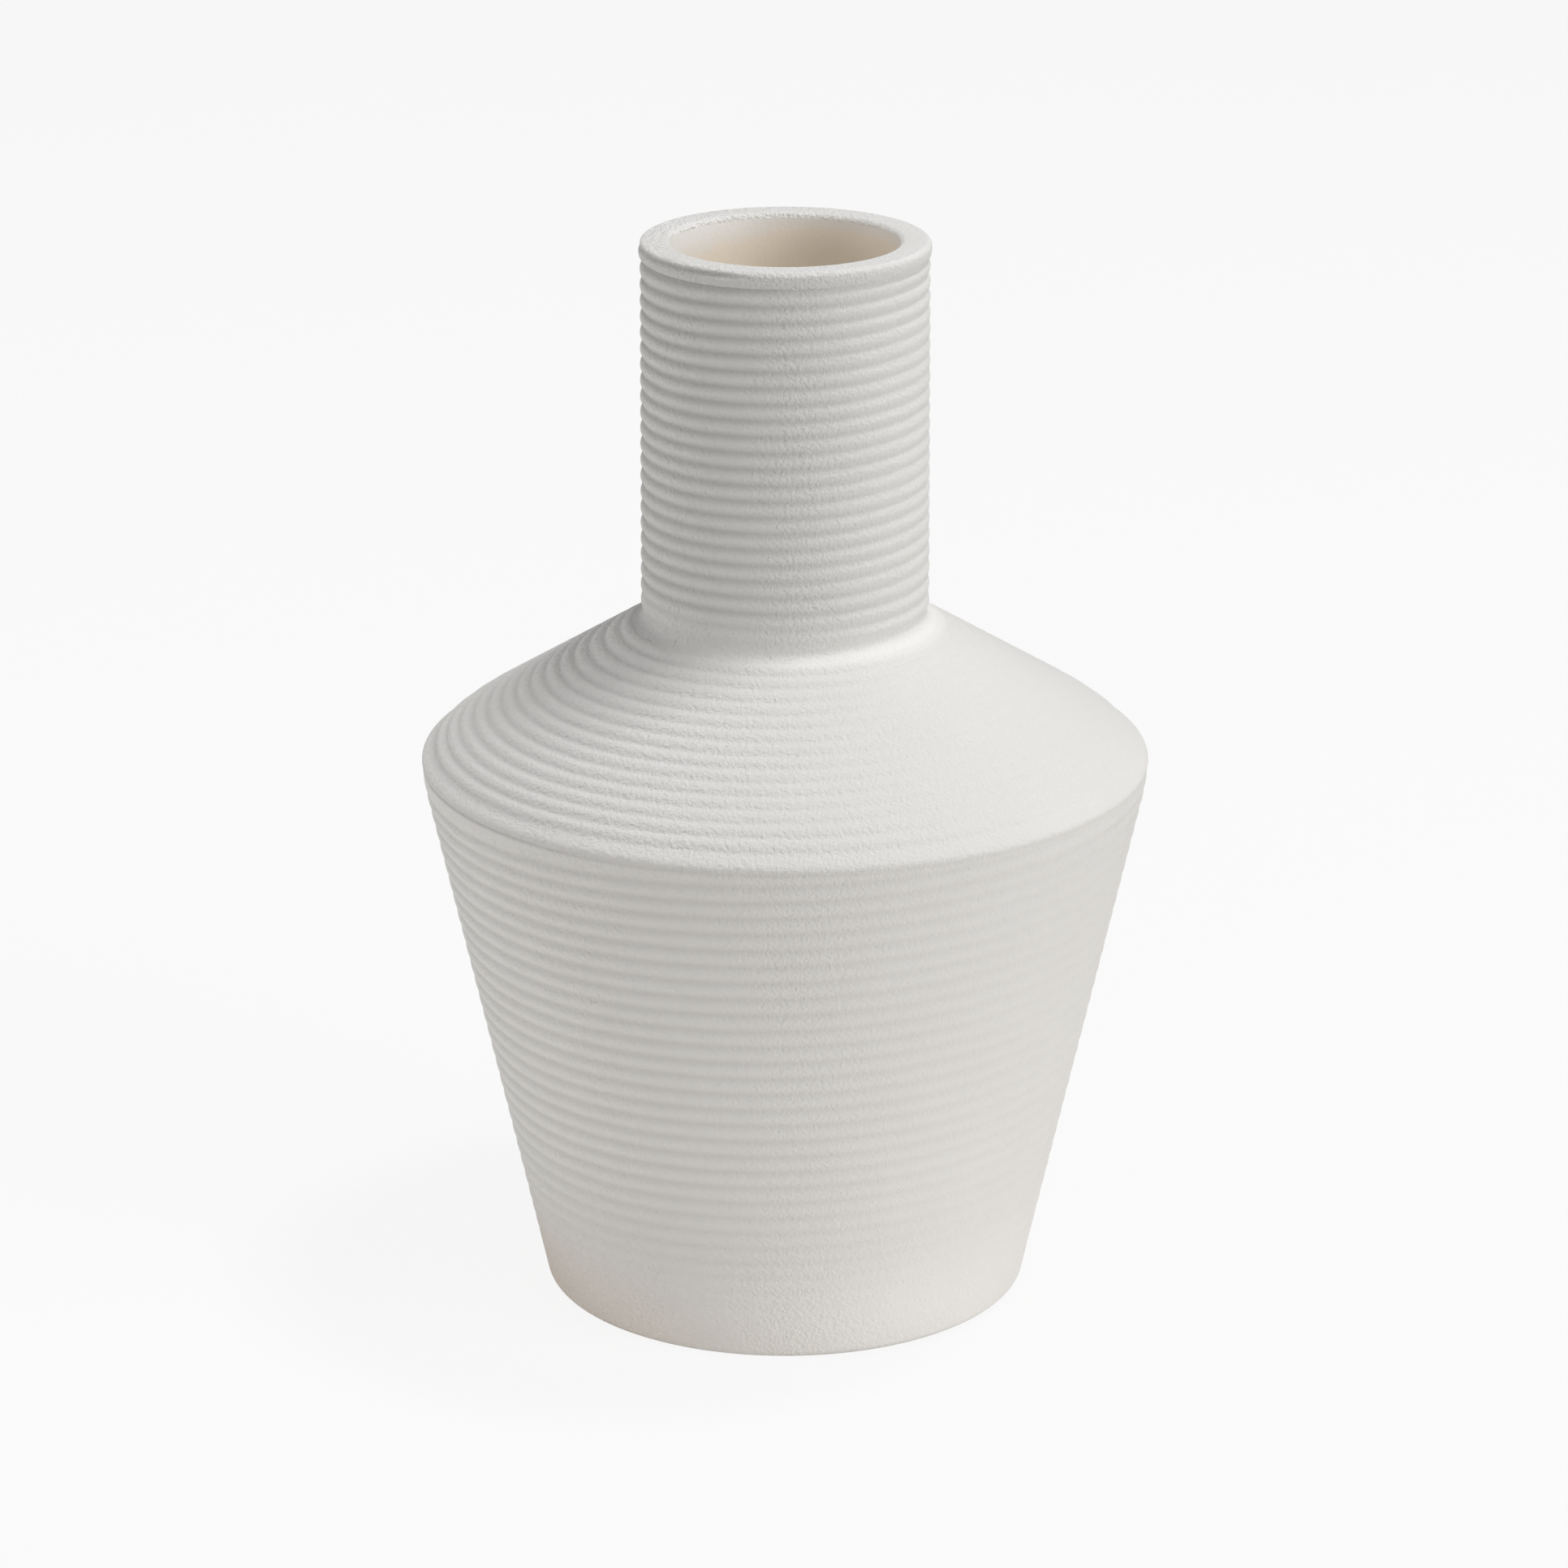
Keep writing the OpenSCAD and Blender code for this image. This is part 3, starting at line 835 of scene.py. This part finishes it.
# Painted pool of light: the colour that the table throws back fades to this dark one beyond the lit
# radius.
FAR_COLOUR = (0.10, 0.10, 0.10, 1)
LIT_RADIUS = (0.52, 0.68)
BACKGROUND = (0.939, 0.939, 0.939, 1)
TABLE_GLOW = (0.975, 0.975, 0.975, 1)
SHADOW_SHARE = 0.10
SHADOW_COLOUR = (0.93, 0.93, 0.93, 1)


def seen_directly(tree):
    """1 for rays that come from the camera, or from it by a mirror or through glass, and 0 for the rays
    that carry light between surfaces."""
    rays = tree.nodes.new("ShaderNodeLightPath")
    first = node(tree, "ShaderNodeMath", operation="ADD")
    both = node(tree, "ShaderNodeMath", operation="ADD", use_clamp=True)
    tree.links.new(rays.outputs["Is Camera Ray"], first.inputs[0])
    tree.links.new(rays.outputs["Is Glossy Ray"], first.inputs[1])
    tree.links.new(first.outputs["Value"], both.inputs[0])
    tree.links.new(rays.outputs["Is Transmission Ray"], both.inputs[1])
    return both.outputs["Value"]


def table_paint():
    """Matt paint that throws back warm light near the vase, and that the camera sees as a mix of the
    even background and a matt surface, whose share holds the shadow."""
    material = bpy.data.materials.new("pale table")
    material.use_nodes = True
    tree = material.node_tree
    tree.nodes.clear()
    place = tree.nodes.new("ShaderNodeTexCoord")
    distance = node(tree, "ShaderNodeVectorMath", operation="LENGTH")
    falloff = node(tree, "ShaderNodeMapRange", interpolation_type="SMOOTHSTEP")
    falloff.inputs["From Min"].default_value, falloff.inputs["From Max"].default_value = LIT_RADIUS
    bounce_colour = node(tree, "ShaderNodeMix", data_type="RGBA")
    bounce_colour.inputs["A"].default_value = TABLE_COLOUR
    bounce_colour.inputs["B"].default_value = FAR_COLOUR
    bounce = tree.nodes.new("ShaderNodeBsdfDiffuse")
    matt = node(tree, "ShaderNodeBsdfDiffuse", Color=SHADOW_COLOUR)
    even = node(tree, "ShaderNodeEmission", Color=TABLE_GLOW)
    shown = node(tree, "ShaderNodeMixShader")
    shown.inputs[0].default_value = SHADOW_SHARE
    mix = tree.nodes.new("ShaderNodeMixShader")
    out = tree.nodes.new("ShaderNodeOutputMaterial")
    tree.links.new(place.outputs["Object"], distance.inputs[0])
    tree.links.new(distance.outputs["Value"], falloff.inputs["Value"])
    tree.links.new(falloff.outputs["Result"], bounce_colour.inputs["Factor"])
    tree.links.new(bounce_colour.outputs["Result"], bounce.inputs["Color"])
    tree.links.new(even.outputs["Emission"], shown.inputs[1])
    tree.links.new(matt.outputs["BSDF"], shown.inputs[2])
    tree.links.new(seen_directly(tree), mix.inputs[0])
    tree.links.new(bounce.outputs["BSDF"], mix.inputs[1])
    tree.links.new(shown.outputs["Shader"], mix.inputs[2])
    tree.links.new(mix.outputs["Shader"], out.inputs["Surface"])
    return material


half = TABLE_SIZE / 2
table_mesh = bpy.data.meshes.new("table")
table_mesh.from_pydata(
    [(-half, -half, 0), (half, -half, 0), (half, half, 0), (-half, half, 0)], [], [(0, 1, 2, 3)])
table_mesh.materials.append(table_paint())
table = bpy.data.objects.new("table", table_mesh)
bpy.context.scene.collection.objects.link(table)


# Light
# A soft lamp high on the right, a wider one low between it and the camera, and a weak one low on the
# left, in a pale room that is brightest overhead and a little brighter behind the camera.
AIM = (0, 0, 0.12)
LAMP_DISTANCE = 2.0
HIGH_LAMP = {"turn": 93, "rise": 75, "size": 0.4, "watts": 15.0}
LOW_LAMP = {"turn": 60, "rise": 20, "size": 1.0, "watts": 16.2}
LEFT_LAMP = {"turn": -90, "rise": 10, "size": 1.0, "watts": 11.3}
ROOM_COLOUR = (1, 1, 1, 1)
ROOM_OVERHEAD = 0.41
ROOM_FRONT = 0.32


def lamp(name, turn, rise, size, watts):
    """A square soft lamp that faces the middle of the vase, turned by an angle from the camera's side
    towards the right and raised by another, in degrees."""
    light = bpy.data.lights.new(name, "AREA")
    light.size = size
    light.energy = watts
    aside, up = math.radians(turn), math.radians(rise)
    hung = bpy.data.objects.new(name, light)
    hung.location = (
        AIM[0] + LAMP_DISTANCE * math.sin(aside) * math.cos(up),
        AIM[1] - LAMP_DISTANCE * math.cos(aside) * math.cos(up),
        AIM[2] + LAMP_DISTANCE * math.sin(up),
    )
    hung.rotation_euler = (math.pi / 2 - up, 0, aside)
    hung.visible_camera = False
    bpy.context.scene.collection.objects.link(hung)


lamp("high lamp", **HIGH_LAMP)
lamp("low lamp", **LOW_LAMP)
lamp("left lamp", **LEFT_LAMP)

world = bpy.data.worlds.new("studio")
world.use_nodes = True
bpy.context.scene.world = world
tree = world.node_tree
tree.nodes.clear()
room = node(tree, "ShaderNodeBackground", Color=ROOM_COLOUR)
towards = tree.nodes.new("ShaderNodeTexCoord")
glow = node(tree, "ShaderNodeMath", operation="ADD")
for place, direction in enumerate(((0, 0, ROOM_OVERHEAD), (0, -ROOM_FRONT, 0))):
    share = node(tree, "ShaderNodeVectorMath", operation="DOT_PRODUCT")
    share.inputs[1].default_value = direction
    held = node(tree, "ShaderNodeMath", operation="MAXIMUM")
    held.inputs[1].default_value = 0
    tree.links.new(towards.outputs["Generated"], share.inputs[0])
    tree.links.new(share.outputs["Value"], held.inputs[0])
    tree.links.new(held.outputs["Value"], glow.inputs[place])
tree.links.new(glow.outputs["Value"], room.inputs["Strength"])
backdrop = node(tree, "ShaderNodeBackground", Color=BACKGROUND)
mix = tree.nodes.new("ShaderNodeMixShader")
out = tree.nodes.new("ShaderNodeOutputWorld")
tree.links.new(seen_directly(tree), mix.inputs[0])
tree.links.new(room.outputs["Background"], mix.inputs[1])
tree.links.new(backdrop.outputs["Background"], mix.inputs[2])
tree.links.new(mix.outputs["Shader"], out.inputs["Surface"])


# Camera
# A long lens a good step away, looking down on the vase, as the perspective of mouth and ridge shows.
# It takes the photo's square frame.
PHOTO_PIXELS = 1932
FOCAL_PIXELS = 7200
SENSOR_MM = 36
CAMERA_PLACE = (-0.00024, -1.2346, 0.5319)
CAMERA_PITCH = math.radians(18.634)

camera_data = bpy.data.cameras.new("camera")
camera_data.sensor_width = SENSOR_MM
camera_data.lens = FOCAL_PIXELS / PHOTO_PIXELS * SENSOR_MM
camera = bpy.data.objects.new("camera", camera_data)
camera.location = CAMERA_PLACE
camera.rotation_euler = (math.pi / 2 - CAMERA_PITCH, 0, 0)
bpy.context.scene.collection.objects.link(camera)
bpy.context.scene.camera = camera
bpy.context.scene.view_settings.view_transform = "Standard"

bpy.context.view_layer.update()
